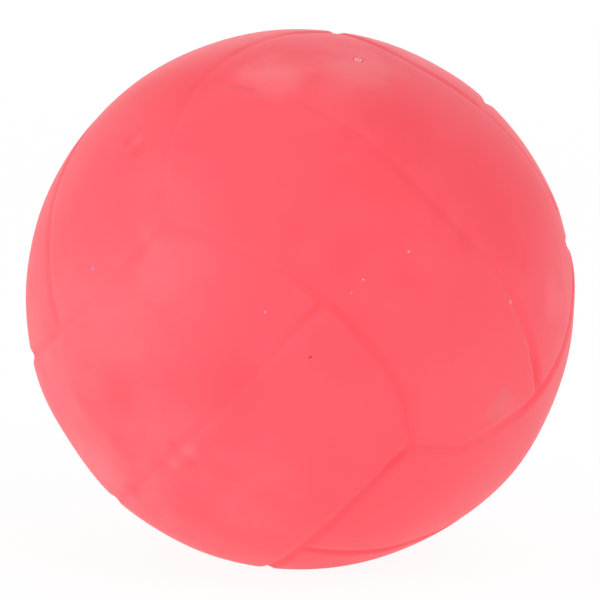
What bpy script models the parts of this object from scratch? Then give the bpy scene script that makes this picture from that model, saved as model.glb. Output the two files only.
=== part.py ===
"""Panelled rubber dog ball with a squeaker inside, as separate parts in metres, +Z up.

The origin is the middle of the small flat that the soft ball rests on. Twelve cover panels, all of one
shape, are bonded to a hollow core of two halves. The squeaker sits in a socket in the upper half and
breathes through a vent in one panel.
"""

from math import acos, asin, cos, pi, radians, sin, sqrt

import bmesh
import bpy
from mathutils import Euler, Matrix, Vector

# Cover
BALL_RADIUS = 0.0325
COVER_WALL = 0.0024
SEAM_WIDTH = 0.0004
SEAM_ROUND = 0.0004
REST_RADIUS = 0.006

# How the soft ball lies: its height over its width, and the turn of the seam net about X, Y and Z
SETTLED_SHAPE = 0.985
NET_TURN = Euler((radians(143.1), radians(-31.8), radians(52.8)))

# Clearance between parts that touch
FIT_GAP = 0.0003

# Vent, by its panel's number and its place from the middle of that panel's straight seam
VENT_PANEL = 9
VENT_ALONG = radians(-29.9)
VENT_ACROSS = radians(21.3)

# Core, with the lip that locates its halves and the boss that holds the squeaker
CORE_WALL = 0.0036
LIP_LENGTH = 0.003
BOSS_WALL = 0.002
BOSS_DEPTH = 0.008

# Squeaker body, with a stepped spigot whose tip shows in the vent, and strainer cap
BODY_RADIUS = 0.007
BODY_WALL = 0.0012
NOZZLE_PLATE = 0.001
SPIGOT_RADIUS = 0.001
SPIGOT_BORE = 0.0005
TIP_RADIUS = 0.00045
TIP_BORE = 0.0002
TIP_INSET = 0.0001
FLANGE_RADIUS = 0.0089
FLANGE_THICKNESS = 0.0012
NECK_LENGTH = 0.0026
CAP_WALL = 0.001
STRAINER_HOLES = 6
STRAINER_HOLE_RADIUS = 0.0008
STRAINER_CIRCLE = 0.0042

# Reed, and the half-round trough and wedge that clamp its tail in the body
ROD_RADIUS = 0.0026
TROUGH_WALL = 0.001
CLAMP_DEPTH = 0.0034
WEDGE_LENGTH = 0.0036
TIP_ROOM = 0.0012
REED_WIDTH = 0.0044
REED_THICKNESS = 0.00025
REED_TAIL = 0.0022
REED_SETBACK = 0.0004

# Facets
PANEL_COLUMNS = 18
PANEL_ROWS = 6
ROUND_STEPS = 2
CORE_STEPS = 40
ARC_STEPS = 9
SMALL_STEPS = 24
HOLE_STEPS = 12
SHARP_ANGLE = radians(35)

# Colours, linear
CORAL_RUBBER = (0.95, 0.125, 0.16)
CORE_RUBBER = (0.72, 0.075, 0.095)
PINK_PLASTIC = (0.94, 0.31, 0.32)
REED_FILM = (0.86, 0.72, 0.42)

# Places that follow from the sizes above. A height is along the vent's axis from the ball's centre.
REST_LEVEL = sqrt(BALL_RADIUS**2 - REST_RADIUS**2)
CORNER_ANGLE = asin(1 / sqrt(3))
CORE_OUTER = BALL_RADIUS - COVER_WALL - FIT_GAP
CORE_INNER = CORE_OUTER - CORE_WALL
LIP_RADIUS = (CORE_OUTER + CORE_INNER - FIT_GAP) / 2
SOCKET_RADIUS = BODY_RADIUS + FIT_GAP
BOSS_RADIUS = SOCKET_RADIUS + BOSS_WALL
SOCKET_FLOOR = sqrt(CORE_INNER**2 - SOCKET_RADIUS**2)
BOSS_END = SOCKET_FLOOR - BOSS_DEPTH
BODY_TOP = SOCKET_FLOOR - FIT_GAP
FLANGE_TOP = BOSS_END - FIT_GAP
FLANGE_BOTTOM = FLANGE_TOP - FLANGE_THICKNESS
BODY_END = FLANGE_BOTTOM - NECK_LENGTH
CAP_FLOOR = BODY_END - FIT_GAP
CAP_BORE = BODY_RADIUS + FIT_GAP
CLAMP_TOP = BODY_TOP - NOZZLE_PLATE
CLAMP_RADIUS = ROD_RADIUS + FIT_GAP
ROD_TOP = CLAMP_TOP - FIT_GAP
ROD_FLAT = REED_THICKNESS / 2 + FIT_GAP
WEDGE_END = ROD_TOP - WEDGE_LENGTH
TROUGH_END = CAP_FLOOR + TIP_ROOM
REED_TIP = TROUGH_END + REED_SETBACK


def clear_scene():
    """Removes the scene's objects."""
    for obj in list(bpy.data.objects):
        bpy.data.objects.remove(obj, do_unlink=True)


def new_collection(name):
    """Returns a new collection in the scene."""
    collection = bpy.data.collections.new(name)
    bpy.context.scene.collection.children.link(collection)
    return collection


def new_finish(name, colour, roughness):
    """Returns a Principled material of one linear colour."""
    material = bpy.data.materials.new(name)
    material.use_nodes = True
    shader = material.node_tree.nodes["Principled BSDF"]
    shader.inputs["Base Color"].default_value = (*colour, 1)
    shader.inputs["Roughness"].default_value = roughness
    shader.inputs["Metallic"].default_value = 0
    return material


def add_frame(name, collection, location, turn, parent=None):
    """Adds an empty that places the parts under it."""
    frame = bpy.data.objects.new(name, None)
    frame.empty_display_size = BALL_RADIUS
    frame.location = location
    frame.rotation_euler = turn
    frame.parent = parent
    collection.objects.link(frame)
    return frame


def add_part(name, mesh, material, collection, parent):
    """Adds a part under its frame, with its material."""
    obj = bpy.data.objects.new(name, mesh)
    obj.parent = parent
    if not mesh.materials:
        mesh.materials.append(material)
    collection.objects.link(obj)
    return obj


def add_cutter(name, mesh, collection, parent=None):
    """Adds a shape that only cuts other parts."""
    obj = bpy.data.objects.new(name, mesh)
    obj.parent = parent
    obj.hide_render = True
    obj.display_type = "WIRE"
    collection.objects.link(obj)
    return obj


def cut(obj, cutter):
    """Takes the cutter's shape out of a part."""
    modifier = obj.modifiers.new(cutter.name, "BOOLEAN")
    modifier.operation = "DIFFERENCE"
    modifier.solver = "EXACT"
    modifier.object = cutter


def finished_mesh(bm, name):
    """Turns a bmesh into a mesh that is smooth but for its corners."""
    mesh = bpy.data.meshes.new(name)
    bm.to_mesh(mesh)
    bm.free()
    mesh.shade_smooth()
    mesh.set_sharp_from_angle(angle=SHARP_ANGLE)
    return mesh


def turned_mesh(name, profile, steps, closed):
    """Turns a profile of (radius, height) points about Z. An open one starts and ends on the axis."""
    outline = bpy.data.meshes.new(name + "_profile")
    count = len(profile)
    edges = [(i, (i + 1) % count) for i in range(count if closed else count - 1)]
    outline.from_pydata([(radius, 0, height) for radius, height in profile], edges, [])
    holder = bpy.data.objects.new(name + "_profile", outline)
    bpy.context.scene.collection.objects.link(holder)
    screw = holder.modifiers.new("turn", "SCREW")
    screw.steps = steps
    screw.render_steps = steps
    screw.use_merge_vertices = True
    screw.merge_threshold = 0.00001
    graph = bpy.context.evaluated_depsgraph_get()
    turned = bpy.data.meshes.new_from_object(holder.evaluated_get(graph))
    bpy.data.objects.remove(holder, do_unlink=True)
    bm = bmesh.new()
    bm.from_mesh(turned)
    bpy.data.meshes.remove(turned)
    return finished_mesh(bm, name)


def rod_bmesh(radius, bottom, top, steps):
    """Returns a bmesh of a round rod along Z between two heights."""
    bm = bmesh.new()
    place = Matrix.Translation((0, 0, (bottom + top) / 2))
    bmesh.ops.create_cone(
        bm,
        cap_ends=True,
        segments=steps,
        radius1=radius,
        radius2=radius,
        depth=top - bottom,
        matrix=place,
    )
    return bm


def half_rod_mesh(name, side, bottom, top):
    """Returns a rod cut flat along its length, with its body on the +X (1) or -X (-1) side."""
    bm = rod_bmesh(ROD_RADIUS, bottom, top, SMALL_STEPS)
    bmesh.ops.bisect_plane(
        bm,
        geom=bm.verts[:] + bm.edges[:] + bm.faces[:],
        plane_co=(side * ROD_FLAT, 0, 0),
        plane_no=(side, 0, 0),
        clear_inner=True,
    )
    bmesh.ops.holes_fill(bm, edges=[edge for edge in bm.edges if edge.is_boundary])
    bmesh.ops.recalc_face_normals(bm, faces=bm.faces)
    return finished_mesh(bm, name)


def block_mesh(name, low, high):
    """Returns a box between two corners."""
    bm = bmesh.new()
    low = Vector(low)
    high = Vector(high)
    place = Matrix.Translation((low + high) / 2) @ Matrix.Diagonal((*(high - low), 1))
    bmesh.ops.create_cube(bm, size=1, matrix=place)
    return finished_mesh(bm, name)


def ball_direction(along, across):
    """Returns the unit direction at two angles from the middle of a panel's straight seam."""
    return Vector((cos(across) * sin(along), sin(across), cos(across) * cos(along)))


def panel_mesh():
    """Returns one cover panel: a strip of the ball beside a straight seam, with walls towards the centre.

    The seams are circles on the ball in planes parallel to the net's own X, Y and Z planes. This strip
    lies along X, between the plane y = 0 and the one through the net's corners, and its ends follow the
    corner plane square to Z.
    """
    half_seam = SEAM_WIDTH / 2 / BALL_RADIUS
    inner_side = half_seam
    outer_side = CORNER_ANGLE - half_seam
    end_angle = pi / 2 - CORNER_ANGLE - half_seam
    bm = bmesh.new()
    bmesh.ops.create_grid(bm, x_segments=PANEL_COLUMNS, y_segments=PANEL_ROWS, size=1)
    for vert in bm.verts:
        across = inner_side + (outer_side - inner_side) * (vert.co.y + 1) / 2
        reach = acos(cos(end_angle) / cos(across))
        vert.co = BALL_RADIUS * ball_direction(vert.co.x * reach, across)
    rim = [edge for edge in bm.edges if edge.is_boundary]
    extruded = bmesh.ops.extrude_face_region(bm, geom=bm.faces[:])["geom"]
    for item in extruded:
        if isinstance(item, bmesh.types.BMVert):
            item.co *= 1 - COVER_WALL / BALL_RADIUS
    bmesh.ops.recalc_face_normals(bm, faces=bm.faces)
    bmesh.ops.bevel(
        bm,
        geom=rim,
        offset=SEAM_ROUND,
        offset_type="OFFSET",
        segments=ROUND_STEPS,
        profile=0.5,
        affect="EDGES",
        clamp_overlap=True,
    )
    return finished_mesh(bm, "cover_panel")


def panel_turns():
    """Returns the twelve turns that carry the first panel to every place on the ball."""
    flips = [Matrix.Identity(3)] + [Matrix.Rotation(pi, 3, axis) for axis in "XYZ"]
    corner = Vector((1, 1, 1))
    thirds = [Matrix.Rotation(third * 2 * pi / 3, 3, corner) for third in range(3)]
    return [flip @ third for third in thirds for flip in flips]


def arc(radius, start, end):
    """Returns (radius, height) points on a circle about the centre, by angle up from the equator."""
    steps = [start + (end - start) * i / ARC_STEPS for i in range(ARC_STEPS + 1)]
    return [(radius * cos(angle), radius * sin(angle)) for angle in steps]


def upper_half_profile():
    """Outline of the core half that holds the squeaker, from its vent down the outside and back up."""
    vent = SPIGOT_RADIUS + FIT_GAP
    outside = arc(CORE_OUTER, acos(vent / CORE_OUTER), asin(FIT_GAP / 2 / CORE_OUTER))
    lip = [(LIP_RADIUS, FIT_GAP / 2), (LIP_RADIUS, -LIP_LENGTH)]
    inside = arc(CORE_INNER, asin(-LIP_LENGTH / CORE_INNER), acos(BOSS_RADIUS / CORE_INNER))
    boss = [(BOSS_RADIUS, BOSS_END), (SOCKET_RADIUS, BOSS_END)]
    socket = [(SOCKET_RADIUS, SOCKET_FLOOR), (vent, SOCKET_FLOOR)]
    return outside + lip + inside + boss + socket


def lower_half_profile():
    """Outline of the plain core half, from the axis up the inside and down the outside."""
    seat = -LIP_LENGTH - FIT_GAP
    rebate = LIP_RADIUS + FIT_GAP
    inside = arc(CORE_INNER, -pi / 2, asin(seat / CORE_INNER))
    step = [(rebate, seat), (rebate, -FIT_GAP / 2)]
    outside = arc(CORE_OUTER, asin(-FIT_GAP / 2 / CORE_OUTER), -pi / 2)
    inside[0] = (0, -CORE_INNER)
    outside[-1] = (0, -CORE_OUTER)
    return inside + step + outside


def body_profile():
    """Outline of the squeaker body: spigot, head, flange and neck outside, chamber and bores inside."""
    bore = BODY_RADIUS - BODY_WALL
    tip_top = BALL_RADIUS - TIP_INSET
    spigot_top = CORE_OUTER - FIT_GAP
    bore_top = spigot_top - (SPIGOT_RADIUS - SPIGOT_BORE)
    clamp_end = CLAMP_TOP - CLAMP_DEPTH
    return [
        (TIP_BORE, tip_top),
        (TIP_RADIUS, tip_top),
        (TIP_RADIUS, spigot_top),
        (SPIGOT_RADIUS, spigot_top),
        (SPIGOT_RADIUS, BODY_TOP),
        (BODY_RADIUS, BODY_TOP),
        (BODY_RADIUS, FLANGE_TOP),
        (FLANGE_RADIUS, FLANGE_TOP),
        (FLANGE_RADIUS, FLANGE_BOTTOM),
        (BODY_RADIUS, FLANGE_BOTTOM),
        (BODY_RADIUS, BODY_END),
        (bore, BODY_END),
        (bore, clamp_end),
        (CLAMP_RADIUS, clamp_end),
        (CLAMP_RADIUS, CLAMP_TOP),
        (SPIGOT_BORE, CLAMP_TOP),
        (SPIGOT_BORE, bore_top),
        (TIP_BORE, bore_top),
    ]


def cap_profile():
    """Outline of the strainer cap, which closes the body's neck."""
    rim = FLANGE_BOTTOM - FIT_GAP
    outer = CAP_BORE + CAP_WALL
    bottom = CAP_FLOOR - CAP_WALL
    return [(0, CAP_FLOOR), (CAP_BORE, CAP_FLOOR), (CAP_BORE, rim), (outer, rim), (outer, bottom), (0, bottom)]


def strainer_mesh():
    """Returns the ring of rods that cut the strainer's holes."""
    rods = bmesh.new()
    for index in range(STRAINER_HOLES):
        angle = 2 * pi * index / STRAINER_HOLES
        spot = STRAINER_CIRCLE * Vector((cos(angle), sin(angle), 0))
        place = Matrix.Translation(spot + Vector((0, 0, CAP_FLOOR - CAP_WALL / 2)))
        bmesh.ops.create_cone(
            rods,
            cap_ends=True,
            segments=HOLE_STEPS,
            radius1=STRAINER_HOLE_RADIUS,
            radius2=STRAINER_HOLE_RADIUS,
            depth=2 * CAP_WALL,
            matrix=place,
        )
    return finished_mesh(rods, "strainer_cutter")


def add_cover(parts, cutters, net, rubber):
    """Adds the twelve cover panels, cut flat where the ball rests and pierced by the vent."""
    reach = 2 * BALL_RADIUS
    low = (-reach, -reach, -reach)
    rest = add_cutter("rest_cutter", block_mesh("rest_cutter", low, (reach, reach, 0)), cutters)
    mesh = panel_mesh()
    for number, turn in enumerate(panel_turns(), start=1):
        panel = add_part(f"cover_panel_{number:02d}", mesh, rubber, parts, net)
        panel.rotation_euler = turn.to_euler()
        place = NET_TURN.to_matrix() @ turn
        lowest = min((place @ vert.co).z for vert in mesh.vertices)
        if lowest < -REST_LEVEL:
            cut(panel, rest)


def add_vent(cutters, vent_frame):
    """Cuts the vent through its panel."""
    rod = rod_bmesh(TIP_RADIUS + FIT_GAP, CORE_OUTER, BALL_RADIUS + COVER_WALL, SMALL_STEPS)
    cutter = add_cutter("vent_cutter", finished_mesh(rod, "vent_cutter"), cutters, vent_frame)
    cut(bpy.data.objects[f"cover_panel_{VENT_PANEL:02d}"], cutter)


def add_core(parts, vent_frame, rubber):
    """Adds the two halves of the hollow core."""
    upper = turned_mesh("core_upper_half", upper_half_profile(), CORE_STEPS, True)
    lower = turned_mesh("core_lower_half", lower_half_profile(), CORE_STEPS, False)
    add_part("core_upper_half", upper, rubber, parts, vent_frame)
    add_part("core_lower_half", lower, rubber, parts, vent_frame)


def add_squeaker(parts, cutters, vent_frame, plastic):
    """Adds the squeaker's body, its strainer cap, and the trough and wedge that clamp the reed."""
    body = turned_mesh("squeaker_body", body_profile(), SMALL_STEPS, True)
    add_part("squeaker_body", body, plastic, parts, vent_frame)
    cap_mesh = turned_mesh("squeaker_cap", cap_profile(), SMALL_STEPS, False)
    cap = add_part("squeaker_cap", cap_mesh, plastic, parts, vent_frame)
    cut(cap, add_cutter("strainer_cutter", strainer_mesh(), cutters, vent_frame))
    trough_mesh = half_rod_mesh("reed_trough", -1, TROUGH_END, ROD_TOP)
    trough = add_part("reed_trough", trough_mesh, plastic, parts, vent_frame)
    channel = rod_bmesh(
        ROD_RADIUS - TROUGH_WALL, TROUGH_END + TROUGH_WALL, ROD_TOP + TROUGH_WALL, SMALL_STEPS
    )
    cut(trough, add_cutter("channel_cutter", finished_mesh(channel, "channel_cutter"), cutters, vent_frame))
    wedge_mesh = half_rod_mesh("reed_wedge", 1, WEDGE_END, ROD_TOP)
    add_part("reed_wedge", wedge_mesh, plastic, parts, vent_frame)


def add_reed(parts, vent_frame, film):
    """Adds the reed, with its origin on the line where it bends: the wedge's lower edge."""
    low = (-REED_THICKNESS / 2, -REED_WIDTH / 2, REED_TIP - WEDGE_END)
    high = (REED_THICKNESS / 2, REED_WIDTH / 2, REED_TAIL)
    reed = add_part("reed", block_mesh("reed", low, high), film, parts, vent_frame)
    reed.location = (0, 0, WEDGE_END)


def main():
    """Builds the ball."""
    clear_scene()
    parts = new_collection("dog_ball")
    cutters = new_collection("cutters")
    settled = add_frame("settled_ball", parts, (0, 0, SETTLED_SHAPE * REST_LEVEL), Euler())
    settled.scale = (1, 1, SETTLED_SHAPE)
    net = add_frame("seam_net", parts, (0, 0, 0), NET_TURN, settled)
    on_panel = Matrix.Rotation(VENT_ALONG, 3, "Y") @ Matrix.Rotation(-VENT_ACROSS, 3, "X")
    vent_turn = panel_turns()[VENT_PANEL - 1] @ on_panel
    vent_frame = add_frame("vent_axis", parts, (0, 0, 0), vent_turn.to_euler(), net)
    core_rubber = new_finish("core_rubber", CORE_RUBBER, 0.8)
    plastic = new_finish("pink_plastic", PINK_PLASTIC, 0.45)
    add_cover(parts, cutters, net, new_finish("coral_rubber", CORAL_RUBBER, 0.62))
    add_vent(cutters, vent_frame)
    add_core(parts, vent_frame, core_rubber)
    add_squeaker(parts, cutters, vent_frame, plastic)
    add_reed(parts, vent_frame, new_finish("reed_film", REED_FILM, 0.35))


main()
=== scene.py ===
"""Dresses the panelled rubber dog ball in a white photo tent.

Twelve cover panels are modelled from one, with the soft groove that each seam leaves, the vent, a sink
mark and the flat that the ball rests on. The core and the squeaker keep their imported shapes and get
finishes. Sizes are in metres and +Z is up.
"""

import logging
from collections.abc import Callable, Iterator
from contextlib import contextmanager
from dataclasses import dataclass
from enum import Enum
from math import acos, asin, cos, pi, radians, sin, sqrt
from typing import Any

import bmesh
import bpy
from mathutils import Euler, Matrix, Vector, noise


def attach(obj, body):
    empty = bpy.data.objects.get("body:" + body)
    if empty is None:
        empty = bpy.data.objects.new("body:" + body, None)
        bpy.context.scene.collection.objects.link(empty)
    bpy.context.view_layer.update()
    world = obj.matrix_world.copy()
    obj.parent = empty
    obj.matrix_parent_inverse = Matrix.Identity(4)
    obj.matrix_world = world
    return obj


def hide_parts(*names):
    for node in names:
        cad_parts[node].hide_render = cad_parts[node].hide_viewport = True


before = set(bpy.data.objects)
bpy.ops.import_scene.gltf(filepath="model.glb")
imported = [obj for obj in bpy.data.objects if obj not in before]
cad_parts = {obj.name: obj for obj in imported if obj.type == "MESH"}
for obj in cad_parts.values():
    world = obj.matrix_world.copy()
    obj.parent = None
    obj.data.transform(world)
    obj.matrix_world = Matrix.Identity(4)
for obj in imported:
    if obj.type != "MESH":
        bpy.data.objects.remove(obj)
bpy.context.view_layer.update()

Colour = tuple[float, float, float, float]

LOG = logging.getLogger("dog_ball")

# The photograph's side in pixels, and the width of the camera's sensor in millimetres.
IMAGE_SIDE = 600
SENSOR = 36.0

# A panel's long side lies this far round the ball from its straight seam.
CORNER_ANGLE = asin(1 / sqrt(3))

# The attribute that keeps how deep in a groove each point of a panel lies.
SEAM_DEPTH = "seam"

# A face whose normal rises more than this faces up.
FACING_UP = 0.9

# Noise lies about this value.
NOISE_MIDDLE = 0.5

# What has this colour and this glow shows as pure white.
WHITE: Colour = (1, 1, 1, 1)
WHITE_GLOW = 1.0


class Slot(Enum):
    """The record's material slots."""

    COVER = "cover_rubber"
    CORE = "core_rubber"
    PLASTIC = "squeaker_plastic"
    FILM = "reed_film"


class PaintedLightAndDust(Enum):
    """The colours that patches of rubber take: painted sheen, painted light, grey dust and painted shade.
    """

    # Painted sheen, pale as a highlight.
    CHALK = (0.965, 0.165, 0.19, 1)
    # Painted light, a little paler than the rubber.
    BLOOM = (0.965, 0.118, 0.15, 1)
    DUST = (0.83, 0.13, 0.14, 1)
    # Painted shade, deeper than the rubber.
    WIPED = (0.945, 0.056, 0.086, 1)


def hill(away: float, reach: float) -> float:
    """Falls smoothly from 1 at a spot to 0 where its reach ends.

    Args:
        away: The distance from the spot.
        reach: The distance at which it ends.

    Returns:
        The share that is left.
    """
    return cos(min(1.0, away / reach) * pi / 2) ** 2


class Signal:
    """A value on its way through a shader, which takes part in sums as a number does."""

    def __init__(self, board: "NodeBoard", socket: bpy.types.NodeSocket | None) -> None:
        """Keeps the board that the value is on and the socket that gives it."""
        self.board = board
        self.socket = socket

    def _sum(self, operation: str, first: "Signal | float", second: "Signal | float") -> "Signal":
        """Adds a Math node.

        Args:
            operation: The node's operation.
            first: Its first value.
            second: Its second value.

        Returns:
            The result.
        """
        return self.board.add("ShaderNodeMath", {"operation": operation}, {0: first, 1: second})

    def __add__(self, other: "Signal | float") -> "Signal":
        """Returns self + other."""
        return self._sum("ADD", self, other)

    __radd__ = __add__

    def __sub__(self, other: "Signal | float") -> "Signal":
        """Returns self - other."""
        return self._sum("SUBTRACT", self, other)

    def __rsub__(self, other: float) -> "Signal":
        """Returns other - self."""
        return self._sum("SUBTRACT", other, self)

    def __mul__(self, other: "Signal | float") -> "Signal":
        """Returns self * other."""
        return self._sum("MULTIPLY", self, other)

    __rmul__ = __mul__

    def sway(self, width: float) -> "Signal":
        """Makes noise sway about 0, over a width."""
        return (self - NOISE_MIDDLE) * width

    def span(self, low: float, high: float) -> "Signal":
        """Rises smoothly from 0 at low to 1 at high, or falls where low is the greater.

        Args:
            low: The value that gives 0.
            high: The value that gives 1.

        Returns:
            The share, from 0 to 1.
        """
        ends = {"From Min": low, "From Max": high} if low < high else {"From Min": high, "From Max": low}
        rising = self.board.add(
            "ShaderNodeMapRange", {"interpolation_type": "SMOOTHSTEP"}, {"Value": self, **ends}
        )
        return rising if low < high else 1 - rising


@dataclass(frozen=True)
class Layer:
    """A layer of noise: the size of its patches, how many finer ones it holds and how drawn out it is."""

    patch: float
    detail: int
    swirl: float = 0.0


class NodeBoard:
    """The node tree of one finish, with one way to add a node."""

    # A Mix node's sockets for colours, by number, because it has several of one name.
    MIX_SHARE = 0
    MIX_LOW = 6
    MIX_HIGH = 7
    MIX_RESULT = 2

    def __init__(self, tree: bpy.types.NodeTree) -> None:
        """Takes a tree and clears it."""
        self.tree = tree
        tree.nodes.clear()

    @classmethod
    def for_finish(cls, name: str) -> "NodeBoard":
        """Starts a new material.

        Args:
            name: The material's name.

        Returns:
            Its board.
        """
        material = bpy.data.materials.new(name)
        material.use_nodes = True
        return cls(material.node_tree)

    def add(
        self,
        kind: str,
        settings: dict[str, Any] | None = None,
        sockets: dict[str | int, Any] | None = None,
        out: str | int = 0,
    ) -> Signal:
        """Adds a node.

        Args:
            kind: The node's type.
            settings: Its properties, which are set first.
            sockets: The values or links of its sockets, by name or number.
            out: The output that is wanted.

        Returns:
            The wanted output.
        """
        node = self.tree.nodes.new(kind)
        for name, value in (settings or {}).items():
            setattr(node, name, value)
        for name, value in (sockets or {}).items():
            if isinstance(value, Signal):
                self.tree.links.new(value.socket, node.inputs[name])
            else:
                node.inputs[name].default_value = value
        return Signal(self, node.outputs[out] if len(node.outputs) else None)

    def place(self) -> Signal:
        """Returns the point on the piece, in metres."""
        return self.add("ShaderNodeTexCoord", out="Object")

    def noise(self, place: Signal, layer: Layer) -> Signal:
        """Adds a soft random value.

        Args:
            place: The point on the piece.
            layer: What the noise is like.

        Returns:
            A value about NOISE_MIDDLE.
        """
        sockets = {
            "Vector": place,
            "Scale": 1 / layer.patch,
            "Detail": layer.detail,
            "Distortion": layer.swirl,
        }
        return self.add("ShaderNodeTexNoise", {}, sockets, "Fac")

    def blend(self, share: Signal | float, low: "Signal | Colour", high: "Signal | Colour") -> Signal:
        """Mixes two colours.

        Args:
            share: 0 for the first colour and 1 for the second.
            low: The first colour.
            high: The second colour.

        Returns:
            The mixed colour.
        """
        sockets = {self.MIX_SHARE: share, self.MIX_LOW: low, self.MIX_HIGH: high}
        return self.add("ShaderNodeMix", {"data_type": "RGBA"}, sockets, self.MIX_RESULT)

    def bump(self, height: Signal, strength: float, depth: float) -> Signal:
        """Tilts the surface as a relief would.

        Args:
            height: The relief, from 0 to 1.
            strength: How much of the tilt shows.
            depth: The relief's depth in metres.

        Returns:
            The tilted normal.
        """
        return self.add(
            "ShaderNodeBump", {}, {"Height": height, "Strength": strength, "Distance": depth}
        )

    def finish(self, sockets: dict[str | int, Any]) -> bpy.types.Material:
        """Closes the board with a Principled surface.

        Args:
            sockets: The surface's values and links.

        Returns:
            The material.
        """
        surface = self.add("ShaderNodeBsdfPrincipled", {}, sockets)
        self.add("ShaderNodeOutputMaterial", {}, {"Surface": surface})
        return next(m for m in bpy.data.materials if m.node_tree == self.tree)


class Bench:
    """Runs the modelling operators on one piece at a time."""

    @staticmethod
    def hold(piece: bpy.types.Object) -> None:
        """Makes a piece the only one that is selected, and the active one.

        Args:
            piece: The piece.
        """
        bpy.ops.object.select_all(action="DESELECT")
        piece.select_set(True)
        bpy.context.view_layer.objects.active = piece

    @staticmethod
    @contextmanager
    def editing(
        piece: bpy.types.Object, chosen: Callable[[bmesh.types.BMFace], bool] | None = None
    ) -> Iterator[None]:
        """Opens a piece in edit mode with some faces selected, and closes it afterwards.

        Args:
            piece: The piece.
            chosen: Says whether a face is selected. Without it all are.
        """
        Bench.hold(piece)
        bpy.ops.object.mode_set(mode="EDIT")
        bpy.ops.mesh.select_mode(type="FACE")
        bpy.ops.mesh.select_all(action="DESELECT")
        for face in bmesh.from_edit_mesh(piece.data).faces:
            if chosen is None or chosen(face):
                face.select_set(True)
        bmesh.update_edit_mesh(piece.data)
        yield
        bpy.ops.object.mode_set(mode="OBJECT")

    @staticmethod
    def apply(piece: bpy.types.Object, kind: str, settings: dict[str, Any]) -> None:
        """Adds a modifier to a piece and applies it.

        Args:
            piece: The piece.
            kind: The modifier's type.
            settings: Its properties.
        """
        modifier = piece.modifiers.new(kind.lower(), kind)
        for name, value in settings.items():
            setattr(modifier, name, value)
        Bench.hold(piece)
        bpy.ops.object.modifier_apply(modifier=modifier.name)

    @staticmethod
    def smooth(piece: bpy.types.Object, corner: float) -> None:
        """Shades a piece smooth, but for edges sharper than an angle in degrees."""
        Bench.hold(piece)
        bpy.ops.object.shade_smooth_by_angle(angle=radians(corner))

    @staticmethod
    def dress(piece: bpy.types.Object, finish: bpy.types.Material) -> None:
        """Gives a piece one finish all over."""
        piece.data.materials.clear()
        piece.data.materials.append(finish)


@dataclass(frozen=True)
class Spot:
    """A place on the ball, by degrees right of the front and above the middle."""

    turn: float
    rise: float

    def direction(self, settled: float = 1.0) -> Vector:
        """Points from the ball's centre to the spot.

        Args:
            settled: How high the ball is for its width.

        Returns:
            The direction, of length 1 on a round ball.
        """
        turn = radians(self.turn)
        rise = radians(self.rise)
        return Vector((cos(rise) * sin(turn), -cos(rise) * cos(turn), sin(rise) * settled))


@dataclass(frozen=True)
class BallForm:
    """How the soft ball lies: its radius, how far it settles and how its seam net is turned."""

    radius: float = 0.0325
    rest_radius: float = 0.006
    settled: float = 0.985
    net_turn: tuple[float, float, float] = (143.1, -31.8, 52.8)

    @property
    def centre(self) -> Vector:
        """Returns the ball's centre above the floor."""
        return Vector((0, 0, self.settled * sqrt(self.radius**2 - self.rest_radius**2)))

    def placing(self, turn: Matrix) -> Matrix:
        """Carries a panel from its own frame to its place on the settled ball.

        Args:
            turn: The panel's turn within the seam net.

        Returns:
            The matrix.
        """
        net = Euler([radians(angle) for angle in self.net_turn]).to_matrix()
        settle = Matrix.Diagonal((1, 1, self.settled, 1))
        return Matrix.Translation(self.centre) @ settle @ (net @ turn).to_4x4()

    def point(self, spot: Spot) -> Vector:
        """Returns a spot's point on the skin."""
        return self.centre + self.radius * spot.direction(self.settled)


@dataclass(frozen=True)
class Speck(Spot):
    """A small mark on the rubber."""

    radius: float
    colour: Colour


@dataclass(frozen=True)
class Patch(Spot):
    """A place where the rubber is painted paler or deeper than the rest, mostly as painted light and
    painted shade, by how much of its colour shows.
    """

    # The patch's colour, one of painted sheen, painted light, painted shade and grey dust.
    film: PaintedLightAndDust
    radius: float
    share: float


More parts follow.
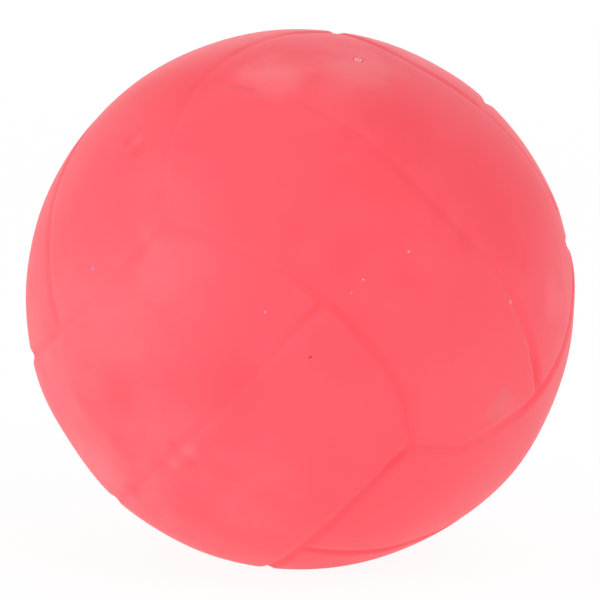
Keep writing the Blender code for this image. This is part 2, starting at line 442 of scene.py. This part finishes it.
@dataclass(frozen=True)
class CoralRubber:
    """Matte coral rubber: soft mottling, fine grain, broad patches of painted sheen, painted light and
    painted shade with one dust smear, specks, and pale talcum in the seams that also lifts the grooves'
    shade as painted light.
    """

    ball: BallForm
    pale: Colour = (0.965, 0.082, 0.115, 1)
    deep: Colour = (0.955, 0.073, 0.105, 1)
    # Pale talcum in the grooves, which also stands as painted light that lifts the grooves' shade.
    talc_and_painted_light: Colour = (0.96, 0.115, 0.15, 1)
    talc_and_painted_light_share: float = 0.1
    mottle: Layer = Layer(0.016, 2, 0.4)
    mottle_ends: tuple[float, float] = (0.3, 0.7)
    cloud: Layer = Layer(0.004, 3)
    cloud_share: float = 0.3
    grain: Layer = Layer(0.00022, 2)
    grain_strength: float = 0.22
    grain_depth: float = 0.0001
    roughness: float = 0.56
    roughness_spread: float = 0.16
    seam_roughness: float = 0.1
    specular: float = 0.5
    sheen: float = 0.1
    sheen_roughness: float = 0.45
    patch_core: float = 0.1
    speck_core: float = 0.4
    speck_share: float = 0.7
    patches: tuple[Patch, ...] = (
        # Painted sheen on the top, painted light down the left side, where the light falls, and a little
        # painted light on the right.
        Patch(-10, 61, PaintedLightAndDust.CHALK, 0.0055, 0.8),
        Patch(27, 64, PaintedLightAndDust.CHALK, 0.007, 0.7),
        Patch(12, 56, PaintedLightAndDust.BLOOM, 0.004, 0.35),
        Patch(-39, 33, PaintedLightAndDust.BLOOM, 0.005, 0.3),
        Patch(-29, 30, PaintedLightAndDust.BLOOM, 0.006, 0.35),
        Patch(-26, 13, PaintedLightAndDust.BLOOM, 0.0055, 0.35),
        Patch(-66, 3, PaintedLightAndDust.BLOOM, 0.008, 0.5),
        Patch(-46, -1, PaintedLightAndDust.BLOOM, 0.014, 0.7),
        Patch(-64, -11, PaintedLightAndDust.BLOOM, 0.008, 0.8),
        Patch(-32, -22, PaintedLightAndDust.BLOOM, 0.0085, 0.75),
        Patch(-58, -30, PaintedLightAndDust.CHALK, 0.0085, 0.55),
        Patch(-43, -39, PaintedLightAndDust.BLOOM, 0.006, 0.6),
        Patch(-8, -30, PaintedLightAndDust.BLOOM, 0.006, 0.4),
        Patch(-15, -38, PaintedLightAndDust.BLOOM, 0.009, 0.4),
        Patch(34, -14, PaintedLightAndDust.BLOOM, 0.0095, 0.3),
        Patch(64, 3, PaintedLightAndDust.BLOOM, 0.004, 0.6),
        # Painted shade, most of it on the right, away from the key light.
        Patch(18, 30, PaintedLightAndDust.WIPED, 0.0125, 0.95),
        Patch(11, 19, PaintedLightAndDust.WIPED, 0.01, 0.9),
        Patch(31, 45, PaintedLightAndDust.WIPED, 0.008, 0.8),
        Patch(45, 30, PaintedLightAndDust.WIPED, 0.0105, 0.7),
        Patch(64, 27, PaintedLightAndDust.WIPED, 0.011, 0.9),
        Patch(49, 18, PaintedLightAndDust.WIPED, 0.007, 0.6),
        Patch(10, -1, PaintedLightAndDust.WIPED, 0.008, 0.4),
        Patch(66, -31, PaintedLightAndDust.WIPED, 0.009, 0.3),
        Patch(-13, -9, PaintedLightAndDust.WIPED, 0.0055, 0.6),
        Patch(-40, -13, PaintedLightAndDust.WIPED, 0.005, 0.5),
        Patch(-50, 57, PaintedLightAndDust.WIPED, 0.009, 1.0),
        Patch(-66, 53, PaintedLightAndDust.WIPED, 0.007, 1.0),
        Patch(-73, 43, PaintedLightAndDust.WIPED, 0.006, 0.4),
        # Small marks: painted shade and painted sheen by the top seams, a painted highlight and painted
        # shade round the sink mark, painted shade along the right-hand seam, a grey dust smear with a
        # paler spot at the lower right, and painted highlights and shade beside the lower left seam.
        Patch(-40.5, 70.5, PaintedLightAndDust.WIPED, 0.0018, 0.9),
        Patch(-20, 60, PaintedLightAndDust.CHALK, 0.0035, 0.35),
        Patch(-23.5, 56.5, PaintedLightAndDust.WIPED, 0.0011, 0.9),
        Patch(-18.5, 56, PaintedLightAndDust.WIPED, 0.0011, 0.8),
        Patch(-49, 40.5, PaintedLightAndDust.BLOOM, 0.0012, 0.7),
        Patch(-52, 39.5, PaintedLightAndDust.WIPED, 0.0012, 0.8),
        Patch(-46, 37, PaintedLightAndDust.WIPED, 0.0015, 0.7),
        Patch(32.5, 25, PaintedLightAndDust.WIPED, 0.0028, 0.7),
        Patch(37, 19, PaintedLightAndDust.WIPED, 0.0028, 0.6),
        Patch(48, -17.5, PaintedLightAndDust.DUST, 0.003, 0.55),
        Patch(51, -17.5, PaintedLightAndDust.BLOOM, 0.0025, 0.5),
        Patch(-30.5, -28.5, PaintedLightAndDust.CHALK, 0.0016, 0.5),
        Patch(-25.5, -25, PaintedLightAndDust.CHALK, 0.0016, 0.5),
        Patch(-29, -23.5, PaintedLightAndDust.WIPED, 0.0012, 0.5),
        Patch(-25, -28, PaintedLightAndDust.WIPED, 0.0012, 0.5),
        Patch(-49.5, -38.5, PaintedLightAndDust.WIPED, 0.0018, 0.8),
    )
    specks: tuple[Speck, ...] = (
        Speck(-6.9, 5.5, 0.00017, (0.95, 0.42, 0.42, 1)),
        Speck(10.3, 9.2, 0.00013, (0.98, 0.55, 0.52, 1)),
        Speck(12.7, 11.8, 0.00015, (0.98, 0.52, 0.5, 1)),
        Speck(22.9, 17.0, 0.0002, (0.95, 0.36, 0.36, 1)),
        Speck(47.8, 4.9, 0.0003, (0.98, 0.6, 0.5, 1)),
        Speck(-47.6, 11.7, 0.00032, (0.5, 0.22, 0.36, 1)),
        Speck(2.0, -3.5, 0.00028, (0.3, 0.02, 0.04, 1)),
    )

    def _near(self, place: Signal, spot: Speck | Patch, edge: Signal, core: float) -> Signal:
        """Marks a round place with an uneven edge.

        Args:
            place: The point on the piece.
            spot: The place and its radius.
            edge: The noise that makes the edge uneven.
            core: The share of the radius that is marked in full.

        Returns:
            1 in the middle and 0 outside.
        """
        middle = tuple(self.ball.point(spot))
        away = place.board.add(
            "ShaderNodeVectorMath", {"operation": "DISTANCE"}, {0: place, 1: middle}, "Value"
        )
        return (away + edge.sway(spot.radius)).span(spot.radius, spot.radius * core)

    def make(self) -> bpy.types.Material:
        """Mixes the finish.

        Returns:
            The finish.
        """
        board = NodeBoard.for_finish("coral_rubber")
        place = board.place()
        mottle = board.noise(place, self.mottle).span(*self.mottle_ends)
        cloud = board.noise(place, self.cloud)
        grain = board.noise(place, self.grain)
        seam = board.add("ShaderNodeAttribute", {"attribute_name": SEAM_DEPTH}, {}, "Fac")
        rest = 1 - self.cloud_share
        colour = board.blend(mottle * rest + cloud * self.cloud_share, self.deep, self.pale)
        # Lays the patches: painted sheen, painted light and painted shade, and one grey dust smear.
        for patch in self.patches:
            share = self._near(place, patch, cloud, self.patch_core) * patch.share
            colour = board.blend(share, colour, patch.film.value)
        # Paler in the grooves: talcum, and painted light that lifts the grooves' shade.
        colour = board.blend(seam * self.talc_and_painted_light_share, colour, self.talc_and_painted_light)
        for speck in self.specks:
            share = self._near(place, speck, grain, self.speck_core) * self.speck_share
            colour = board.blend(share, colour, speck.colour)
        height = grain * rest + cloud * self.cloud_share
        roughness = self.roughness + cloud.sway(self.roughness_spread) + seam * self.seam_roughness
        return board.finish(
            {
                "Base Color": colour,
                "Roughness": roughness,
                "Normal": board.bump(height, self.grain_strength, self.grain_depth),
                "Specular IOR Level": self.specular,
                "Sheen Weight": self.sheen,
                "Sheen Roughness": self.sheen_roughness,
            }
        )


@dataclass(frozen=True)
class CoreRubber:
    """Dull red inner rubber, buffed so that the cover bonds to it."""

    deep: Colour = (0.62, 0.05, 0.07, 1)
    pale: Colour = (0.76, 0.09, 0.11, 1)
    cloud: Layer = Layer(0.006, 3)
    cloud_ends: tuple[float, float] = (0.35, 0.65)
    buff: Layer = Layer(0.0006, 4, 1.5)
    buff_share: float = 0.4
    buff_strength: float = 0.35
    buff_depth: float = 0.0002
    roughness: float = 0.78
    roughness_spread: float = 0.2

    def make(self) -> bpy.types.Material:
        """Mixes the finish.

        Returns:
            The finish.
        """
        board = NodeBoard.for_finish(Slot.CORE.value)
        place = board.place()
        cloud = board.noise(place, self.cloud).span(*self.cloud_ends)
        buff = board.noise(place, self.buff)
        share = cloud * (1 - self.buff_share) + buff * self.buff_share
        return board.finish(
            {
                "Base Color": board.blend(share, self.deep, self.pale),
                "Roughness": self.roughness + buff.sway(self.roughness_spread),
                "Normal": board.bump(buff, self.buff_strength, self.buff_depth),
            }
        )


@dataclass(frozen=True)
class MouldedPlastic:
    """Pale pink moulded plastic with a faint flow pattern and rubber dust."""

    clear: Colour = (0.98, 0.48, 0.48, 1)
    dusty: Colour = (0.95, 0.36, 0.36, 1)
    flow: Layer = Layer(0.003, 3, 2.0)
    flow_ends: tuple[float, float] = (0.35, 0.7)
    grain: Layer = Layer(0.00025, 2)
    grain_strength: float = 0.1
    grain_depth: float = 0.00005
    glow: float = 0.5
    glow_reach: tuple[float, float, float] = (1, 0.6, 0.6)
    glow_depth: float = 0.0004
    roughness: float = 0.42
    roughness_spread: float = 0.2

    def make(self) -> bpy.types.Material:
        """Mixes the finish.

        Returns:
            The finish.
        """
        board = NodeBoard.for_finish(Slot.PLASTIC.value)
        place = board.place()
        flow = board.noise(place, self.flow)
        grain = board.noise(place, self.grain)
        return board.finish(
            {
                "Base Color": board.blend(flow.span(*self.flow_ends), self.clear, self.dusty),
                "Roughness": self.roughness + flow.sway(self.roughness_spread),
                "Normal": board.bump(grain, self.grain_strength, self.grain_depth),
                "Subsurface Weight": self.glow,
                "Subsurface Radius": self.glow_reach,
                "Subsurface Scale": self.glow_depth,
            }
        )


@dataclass(frozen=True)
class ReedFilm:
    """Thin amber film, drawn along its length."""

    deep: Colour = (0.8, 0.6, 0.3, 1)
    pale: Colour = (0.9, 0.78, 0.5, 1)
    streak: Layer = Layer(0.0005, 3, 3.0)
    streak_ends: tuple[float, float] = (0.3, 0.7)
    streak_strength: float = 0.1
    streak_depth: float = 0.00004
    roughness: float = 0.32
    roughness_spread: float = 0.2

    def make(self) -> bpy.types.Material:
        """Mixes the finish.

        Returns:
            The finish.
        """
        board = NodeBoard.for_finish(Slot.FILM.value)
        streak = board.noise(board.place(), self.streak)
        return board.finish(
            {
                "Base Color": board.blend(streak.span(*self.streak_ends), self.deep, self.pale),
                "Roughness": self.roughness + streak.sway(self.roughness_spread),
                "Normal": board.bump(streak, self.streak_strength, self.streak_depth),
            }
        )


@dataclass(frozen=True)
class Vent:
    """The hole that the squeaker breathes through, by its panel and its degrees along and across it."""

    panel: int = 9
    along: float = -29.9
    across: float = 21.3
    bore: float = 0.00048
    bore_sides: int = 48
    mouth: float = 0.0008
    flare_depth: float = 0.0003
    flare_steps: int = 5
    dish_depth: float = 0.00006
    dish_radius: float = 0.0024

    @property
    def turn(self) -> Matrix:
        """Returns the turn from the Z axis to the vent's axis, in its panel's frame."""
        tilt = Matrix.Rotation(radians(-self.across), 3, "X")
        return Matrix.Rotation(radians(self.along), 3, "Y") @ tilt


@dataclass(frozen=True)
class SinkMark:
    """A small round hollow that the mould left in one panel."""

    panel: int = 3
    along: float = 18.9
    across: float = 26.4
    depth: float = 0.0001
    radius: float = 0.0012


@dataclass(frozen=True)
class Drift(Spot):
    """A place where the panels were laid off the even net, by how far they moved to the right and up."""

    reach: float
    right: float
    up: float


@dataclass(frozen=True)
class Press(Spot):
    """A place where the seams are deeper than elsewhere by a share, or shallower where it is below 0."""

    reach: float
    share: float


@dataclass(frozen=True)
class Swell(Spot):
    """A place where the soft ball stands a little proud, or is pressed in where the height is below 0."""

    reach: float
    height: float


@dataclass
class Cover:
    """The rubber cover: twelve panels, all of one shape, that meet in soft grooves."""

    ball: BallForm
    body: str = "ball"
    wall: float = 0.0024
    seam_gap: float = 0.000004
    groove_depth: float = 0.00028
    groove_reach: float = 0.0011
    crease_power: int = 3
    most_filled: float = 0.8
    ripple_height: float = 0.00009
    ripple_patch: float = 0.008
    columns: int = 120
    rows: int = 44
    crowding: float = 0.78
    detail_reach: float = 0.0021
    detail_cuts: int = 3
    corner: float = 40.0
    cut_tolerance: float = 0.000001
    vent: Vent = Vent()
    sink: SinkMark = SinkMark()
    drifts: tuple[Drift, ...] = (
        # In the middle, at the lower right, down the right-hand seam and down the upper right seam.
        Drift(15.7, -7.0, 0.012, 0.0012, 0.0008),
        Drift(4.0, 7.1, 0.009, 0.0006, 0.0006),
        Drift(36.3, -23.6, 0.009, 0.0003, -0.00095),
        Drift(34.0, 25.9, 0.016, -0.00095, -0.0009),
        Drift(51.9, -0.4, 0.008, -0.0008, 0),
        Drift(60.0, -13.0, 0.008, -0.0003, -0.0007),
        Drift(66.0, 66.0, 0.008, -0.0016, 0),
        Drift(68.0, 54.0, 0.01, -0.001, 0),
    )
    presses: tuple[Press, ...] = (
        # Shallow seams, on the left, along the top and at the upper right.
        Press(-30, 23, 0.02, -1.0),
        Press(-45, 8, 0.011, -0.7),
        Press(-14, 17, 0.009, -0.5),
        Press(-12, -9, 0.014, -0.55),
        Press(-65, 9, 0.009, -0.35),
        Press(-70, 25, 0.01, -0.6),
        Press(-76, -46, 0.005, -0.4),
        Press(-34, 47, 0.011, -0.6),
        Press(-38, 66, 0.014, -0.7),
        Press(-12, 79, 0.008, -0.5),
        Press(0, 51, 0.014, -0.8),
        Press(56, 66, 0.006, -0.4),
        Press(67, 58, 0.012, -0.3),
        Press(75, 36, 0.014, -1.0),
        # Shallow stretches on the right.
        Press(19, 43, 0.008, -0.5),
        Press(27, 34, 0.008, -0.6),
        Press(33, 23, 0.009, -0.45),
        Press(45, 9, 0.006, -0.3),
        Press(48, -19, 0.008, -0.25),
        Press(40, -24, 0.006, -0.4),
        # Deep creases: the top, the upper right notch, the middle, the lower right, the right-hand corner.
        Press(-21, 56, 0.005, 0.9),
        Press(84, 48, 0.006, 1.0),
        Press(3, 9, 0.006, 0.5),
        Press(10, 3, 0.007, 0.6),
        Press(19, -11, 0.008, 0.5),
        Press(22, -27, 0.0045, 1.2),
        Press(15, -37, 0.0095, 0.5),
        Press(60, -11, 0.007, 1.3),
    )
    swells: tuple[Swell, ...] = (
        # The flat at the lower left, the bulge at the lower right and the step on the right.
        Swell(-81.0, -32.6, 0.0095, -0.00024),
        Swell(79.0, -39.0, 0.009, 0.0002),
        Swell(86.0, 15.0, 0.0038, -0.00034),
        Swell(86.0, 6.0, 0.005, 0.00014),
    )

    def build(self) -> list[bpy.types.Object]:
        """Models the panels.

        Returns:
            The panels, in the order of their numbers.
        """
        pattern = self._pattern()
        finish = CoralRubber(self.ball).make()
        panels = []
        for number, turn in enumerate(self._turns(), start=1):
            panel = pattern.copy()
            panel.data = pattern.data.copy()
            panel.name = panel.data.name = f"rubber_panel_{number:02d}"
            bpy.context.collection.objects.link(panel)
            if number == self.vent.panel:
                self._pierce(panel)
            if number == self.sink.panel:
                self._dent(panel)
            panel.data.transform(self.ball.placing(turn))
            self._wander(panel)
            self._settle(panel)
            self._flatten(panel)
            Bench.smooth(panel, self.corner)
            Bench.dress(panel, finish)
            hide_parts(f"cover_panel_{number:02d}")
            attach(panel, self.body)
            panels.append(panel)
        bpy.data.objects.remove(pattern, do_unlink=True)
        return panels

    @property
    def _mid_wall(self) -> float:
        """Returns the radius halfway through the wall, beyond which a point is on the skin."""
        return self.ball.radius - self.wall / 2

    @staticmethod
    def _turns() -> list[Matrix]:
        """Turns the first panel to every place on the ball.

        Returns:
            The twelve turns, in the order of the panels' numbers.
        """
        flips = [Matrix.Identity(3)] + [Matrix.Rotation(pi, 3, axis) for axis in "XYZ"]
        corner = Vector((1, 1, 1))
        thirds = [Matrix.Rotation(third * 2 * pi / 3, 3, corner) for third in range(3)]
        return [flip @ third for third in thirds for flip in flips]

    @staticmethod
    def _direction(along: float, across: float) -> Vector:
        """Returns the unit direction at two angles from the middle of a panel's straight seam."""
        return Vector((cos(across) * sin(along), sin(across), cos(across) * cos(along)))

    def _crowd(self, share: float) -> float:
        """Moves a place between -1 and 1 towards the nearer end, so that points gather at the seams."""
        return share * (1 - self.crowding) + self.crowding * sin(share * pi / 2)

    def _laid(self, spot: Vector) -> Vector:
        """Lays a point of the flat grid on the ball.

        Args:
            spot: The point, from -1 to 1 along and across the strip.

        Returns:
            Its place.
        """
        half_gap = self.seam_gap / 2 / self.ball.radius
        across = half_gap + (CORNER_ANGLE - 2 * half_gap) * (self._crowd(spot.y) + 1) / 2
        end = pi / 2 - CORNER_ANGLE - half_gap
        along = self._crowd(spot.x) * acos(cos(end) / cos(across))
        return self.ball.radius * self._direction(along, across)

    def _nearness(self, spot: Vector) -> float:
        """Says how deep in a groove a point of the panel lies.

        Args:
            spot: The point, in the panel's own frame.

        Returns:
            1 on a seam and 0 beyond the groove's reach.
        """
        direction = spot.normalized()
        rise = asin(direction.y)
        clear = 1.0
        for angle in (rise, CORNER_ANGLE - rise, asin(direction.z) - CORNER_ANGLE):
            clear *= 1 - hill(max(0.0, angle * self.ball.radius), self.groove_reach)
        return 1 - clear

    def _pattern(self) -> bpy.types.Object:
        """Models the first panel: a strip of the ball beside a straight seam, with its groove all round.

        Returns:
            The panel, in its own frame.
        """
        bpy.ops.object.select_all(action="DESELECT")
        bpy.ops.mesh.primitive_grid_add(x_subdivisions=self.columns, y_subdivisions=self.rows, size=2)
        pattern = bpy.context.object
        for vertex in pattern.data.vertices:
            vertex.co = self._laid(vertex.co)
        inside = 1 - self.wall / self.ball.radius
        with Bench.editing(pattern):
            bpy.ops.mesh.extrude_region_move()
            bpy.ops.transform.resize(value=(inside, inside, inside), center_override=(0, 0, 0))
            bpy.ops.mesh.select_all(action="SELECT")
            bpy.ops.mesh.normals_make_consistent(inside=False)
        self._sink_rim(pattern)
        return pattern

    def _sink_rim(self, pattern: bpy.types.Object) -> None:
        """Rounds a panel down into its grooves, and keeps how deep each point lies for the finish.

        Args:
            pattern: The panel, in its own frame.
        """
        depths = [0.0] * len(pattern.data.vertices)
        for vertex in pattern.data.vertices:
            if vertex.co.length > self._mid_wall:
                depth = self._nearness(vertex.co)
                depths[vertex.index] = depth
                vertex.co *= 1 - depth * self.groove_depth / self.ball.radius
        pattern.data.attributes.new(SEAM_DEPTH, "FLOAT", "POINT").data.foreach_set("value", depths)

    def _refine(self, panel: bpy.types.Object, spot: Vector) -> None:
        """Adds points to a panel's skin around a spot.

        Args:
            panel: The panel, in its own frame.
            spot: The middle of the place that gets more points.
        """
        with Bench.editing(
            panel, lambda face: (face.calc_center_median() - spot).length < self.detail_reach
        ):
            bpy.ops.mesh.subdivide(number_cuts=self.detail_cuts)

    def _push(self, panel: bpy.types.Object, spot: Vector, height: float, radius: float) -> None:
        """Pushes a panel's skin out, or in, round a spot.

        Args:
            panel: The panel.
            spot: The middle of the push.
            height: How far the middle moves out.
            radius: Where the push ends.
        """
        outwards = spot.normalized()
        for vertex in panel.data.vertices:
            vertex.co += outwards * height * hill((vertex.co - spot).length, radius)

    def _pierce(self, panel: bpy.types.Object) -> None:
        """Dishes a panel round the vent and cuts the vent through it.

        Args:
            panel: The panel, in its own frame.
        """
        vent = self.vent
        spot = vent.turn @ Vector((0, 0, self.ball.radius))
        self._refine(panel, spot)
        self._push(panel, spot, -vent.dish_depth, vent.dish_radius)
        # The plug that is cut out starts well inside the panel.
        low = self.ball.radius - 2 * self.wall
        top = self.ball.radius - vent.flare_depth - vent.dish_depth
        bpy.ops.object.select_all(action="DESELECT")
        bpy.ops.mesh.primitive_cylinder_add(
            vertices=vent.bore_sides,
            radius=vent.bore,
            depth=top - low,
            location=(0, 0, (low + top) / 2),
        )
        plug = bpy.context.object
        step = vent.flare_depth / vent.flare_steps
        with Bench.editing(plug, lambda face: face.normal.z > FACING_UP):
            width = vent.bore
            # The flare is a quarter round, and one more step takes the plug clear of the skin.
            for index in range(1, vent.flare_steps + 2):
                bend = 1 - sqrt(max(0.0, 1 - (index / vent.flare_steps) ** 2))
                wider = vent.bore + (vent.mouth - vent.bore) * bend
                growth = wider / width
                bpy.ops.mesh.extrude_region_move(TRANSFORM_OT_translate={"value": (0, 0, step)})
                bpy.ops.transform.resize(value=(growth, growth, 1), center_override=(0, 0, 0))
                width = wider
        plug.matrix_world = vent.turn.to_4x4() @ plug.matrix_world
        Bench.apply(panel, "BOOLEAN", {"operation": "DIFFERENCE", "solver": "EXACT", "object": plug})
        bpy.data.objects.remove(plug, do_unlink=True)

    def _dent(self, panel: bpy.types.Object) -> None:
        """Leaves the sink mark in its panel.

        Args:
            panel: The panel, in its own frame.
        """
        spot = self.ball.radius * self._direction(radians(self.sink.along), radians(self.sink.across))
        self._refine(panel, spot)
        self._push(panel, spot, -self.sink.depth, self.sink.radius)

    def _wander(self, panel: bpy.types.Object) -> None:
        """Moves a panel along the ball where the seams leave the even net.

        Args:
            panel: The panel, in its place on the ball.
        """
        centre = self.ball.centre
        for drift in self.drifts:
            middle = self.ball.point(drift)
            turn = radians(drift.turn)
            right = Vector((cos(turn), sin(turn), 0))
            push = right * drift.right + (middle - centre).normalized().cross(right) * drift.up
            for vertex in panel.data.vertices:
                spoke = vertex.co - centre
                moved = spoke + push * hill((vertex.co - middle).length, drift.reach)
                vertex.co = centre + moved.normalized() * spoke.length

    def _pressed(self, place: Vector) -> float:
        """Says how much deeper the seams are at a place.

        Args:
            place: The place on the ball.

        Returns:
            The change, as a share of a groove's depth.
        """
        shares = [
            press.share * hill((place - self.ball.point(press)).length, press.reach)
            for press in self.presses
        ]
        return max(-self.most_filled, sum(shares))

    def _settle(self, panel: bpy.types.Object) -> None:
        """Makes a panel's skin a little uneven, alike on both sides of a seam, and its seams unlike.

        Args:
            panel: The panel, in its place on the ball.
        """
        centre = self.ball.centre
        for vertex, seam in zip(panel.data.vertices, panel.data.attributes[SEAM_DEPTH].data):
            spoke = vertex.co - centre
            if spoke.length < self._mid_wall:
                continue
            swell = self.ripple_height * noise.noise(vertex.co / self.ripple_patch)
            for lump in self.swells:
                swell += lump.height * hill((vertex.co - self.ball.point(lump)).length, lump.reach)
            if seam.value > 0:
                pressed = self._pressed(vertex.co)
                crease = seam.value**self.crease_power if pressed > 0 else seam.value
                swell -= crease * self.groove_depth * pressed
            vertex.co += spoke.normalized() * swell

    def _flatten(self, panel: bpy.types.Object) -> None:
        """Cuts a panel flat where it reaches below the floor.

        Args:
            panel: The panel, in its place on the ball.
        """
        if min(vertex.co.z for vertex in panel.data.vertices) >= 0:
            return
        with Bench.editing(panel):
            bpy.ops.mesh.bisect(
                plane_co=(0, 0, 0),
                plane_no=(0, 0, 1),
                use_fill=True,
                clear_inner=True,
                threshold=self.cut_tolerance,
            )


@dataclass
class Inside:
    """The hollow core and the squeaker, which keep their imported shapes."""

    core_nodes: tuple[str, ...] = ("core_upper_half", "core_lower_half")
    plastic_nodes: tuple[str, ...] = ("squeaker_body", "squeaker_cap", "reed_trough", "reed_wedge")
    film_nodes: tuple[str, ...] = ("reed",)

    def build(self) -> list[bpy.types.Object]:
        """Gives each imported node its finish.

        Returns:
            The nodes.
        """
        groups = (
            (self.core_nodes, CoreRubber().make()),
            (self.plastic_nodes, MouldedPlastic().make()),
            (self.film_nodes, ReedFilm().make()),
        )
        nodes = []
        for names, finish in groups:
            for name in names:
                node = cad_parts[name]
                node.material_slots[0].material = finish
                nodes.append(node)
        return nodes


@dataclass(frozen=True)
class SoftBox(Spot):
    """A square lamp that faces the ball from beyond a spot on it."""

    name: str
    distance: float
    side: float
    power: float


@dataclass
class Studio:
    """The white tent: a pale floor, soft light all round, a few soft boxes and the camera."""

    ball: BallForm
    elevation: float = 8.0
    distance: float = 0.4778
    nearest: float = 0.01
    limb_pixels: float = 274.4
    lifted_pixels: float = 0.9
    floor_side: float = 12.0
    floor_colour: Colour = (0.88, 0.88, 0.88, 1)
    floor_glow: float = 0.28
    floor_lift: float = 0.9
    tent_light: float = 0.6
    boxes: tuple[SoftBox, ...] = (
        SoftBox(-60, 12, "key_box", 1.0, 0.5, 3.2),
        SoftBox(32, 38, "fill_box", 1.0, 0.5, 2.6),
        SoftBox(176, 14, "back_box", 1.0, 0.5, 0.7),
    )

    def build(self) -> None:
        """Sets up the tent, the lamps and the camera."""
        self._floor()
        self._tent()
        for box in self.boxes:
            self._lamp(box)
        self._camera()
        bpy.context.scene.view_settings.view_transform = "Standard"

    @staticmethod
    def _seen(board: NodeBoard) -> Signal:
        """Tells what is seen from plain light.

        Args:
            board: The board of the floor or the tent.

        Returns:
            1 for what the camera, a reflection or clear glass shows, and 0 for plain light.
        """
        camera, gloss, glass = (
            board.add("ShaderNodeLightPath", out=f"Is {ray} Ray")
            for ray in ("Camera", "Glossy", "Transmission")
        )
        return (camera + gloss + glass).span(0, 1)

    def _floor(self) -> None:
        """Lays the floor, which shows white but keeps the ball's shadow."""
        bpy.ops.object.select_all(action="DESELECT")
        bpy.ops.mesh.primitive_plane_add(size=self.floor_side)
        floor = bpy.context.object
        floor.name = "floor"
        board = NodeBoard.for_finish("floor_paper")
        paper = board.add("ShaderNodeBsdfDiffuse", {}, {"Color": self.floor_colour})
        glow = board.add("ShaderNodeEmission", {}, {"Strength": self.floor_glow})
        table = board.add("ShaderNodeAddShader", {}, {0: paper, 1: glow})
        white = board.add("ShaderNodeEmission", {}, {"Color": WHITE, "Strength": WHITE_GLOW})
        share = self._seen(board) * self.floor_lift
        surface = board.add("ShaderNodeMixShader", {}, {0: share, 1: table, 2: white})
        board.add("ShaderNodeOutputMaterial", {}, {"Surface": surface})
        Bench.dress(floor, bpy.data.materials["floor_paper"])

    def _tent(self) -> None:
        """Surrounds the ball with even white light."""
        world = bpy.data.worlds.new("tent")
        world.use_nodes = True
        bpy.context.scene.world = world
        board = NodeBoard(world.node_tree)
        light = board.add("ShaderNodeBackground", {}, {"Color": WHITE, "Strength": self.tent_light})
        white = board.add("ShaderNodeBackground", {}, {"Color": WHITE, "Strength": WHITE_GLOW})
        cloth = board.add("ShaderNodeMixShader", {}, {0: self._seen(board), 1: light, 2: white})
        board.add("ShaderNodeOutputWorld", {}, {"Surface": cloth})

    def _lamp(self, box: SoftBox) -> None:
        """Hangs a soft box that faces the ball.

        Args:
            box: The soft box.
        """
        away = box.direction()
        aim = away.to_track_quat("Z", "Y").to_euler()
        place = self.ball.centre + away * box.distance
        bpy.ops.object.light_add(type="AREA", location=place, rotation=aim)
        lamp = bpy.context.object
        lamp.name = box.name
        lamp.data.size = box.side
        lamp.data.energy = box.power

    def _camera(self) -> None:
        """Places the camera at the photograph's angle and distance."""
        rise = radians(self.elevation)
        away = Spot(0, self.elevation).direction() * self.distance
        bpy.ops.object.camera_add(location=self.ball.centre + away, rotation=(pi / 2 - rise, 0, 0))
        camera = bpy.context.object
        camera.name = "photo_camera"
        edge = self.ball.radius / sqrt(self.distance**2 - self.ball.radius**2)
        camera.data.sensor_width = SENSOR
        camera.data.lens = self.limb_pixels / edge / IMAGE_SIDE * SENSOR
        camera.data.shift_y = -self.lifted_pixels / IMAGE_SIDE
        camera.data.clip_start = self.nearest
        bpy.context.scene.camera = camera


def main() -> None:
    """Builds the ball and its studio."""
    logging.basicConfig(level=logging.INFO, format="%(name)s: %(message)s")
    ball = BallForm()
    pieces = Cover(ball).build() + Inside().build()
    Studio(ball).build()
    for piece in pieces:
        LOG.info("%s: %d faces", piece.name, len(piece.data.polygons))


if __name__ == "__main__":
    main()
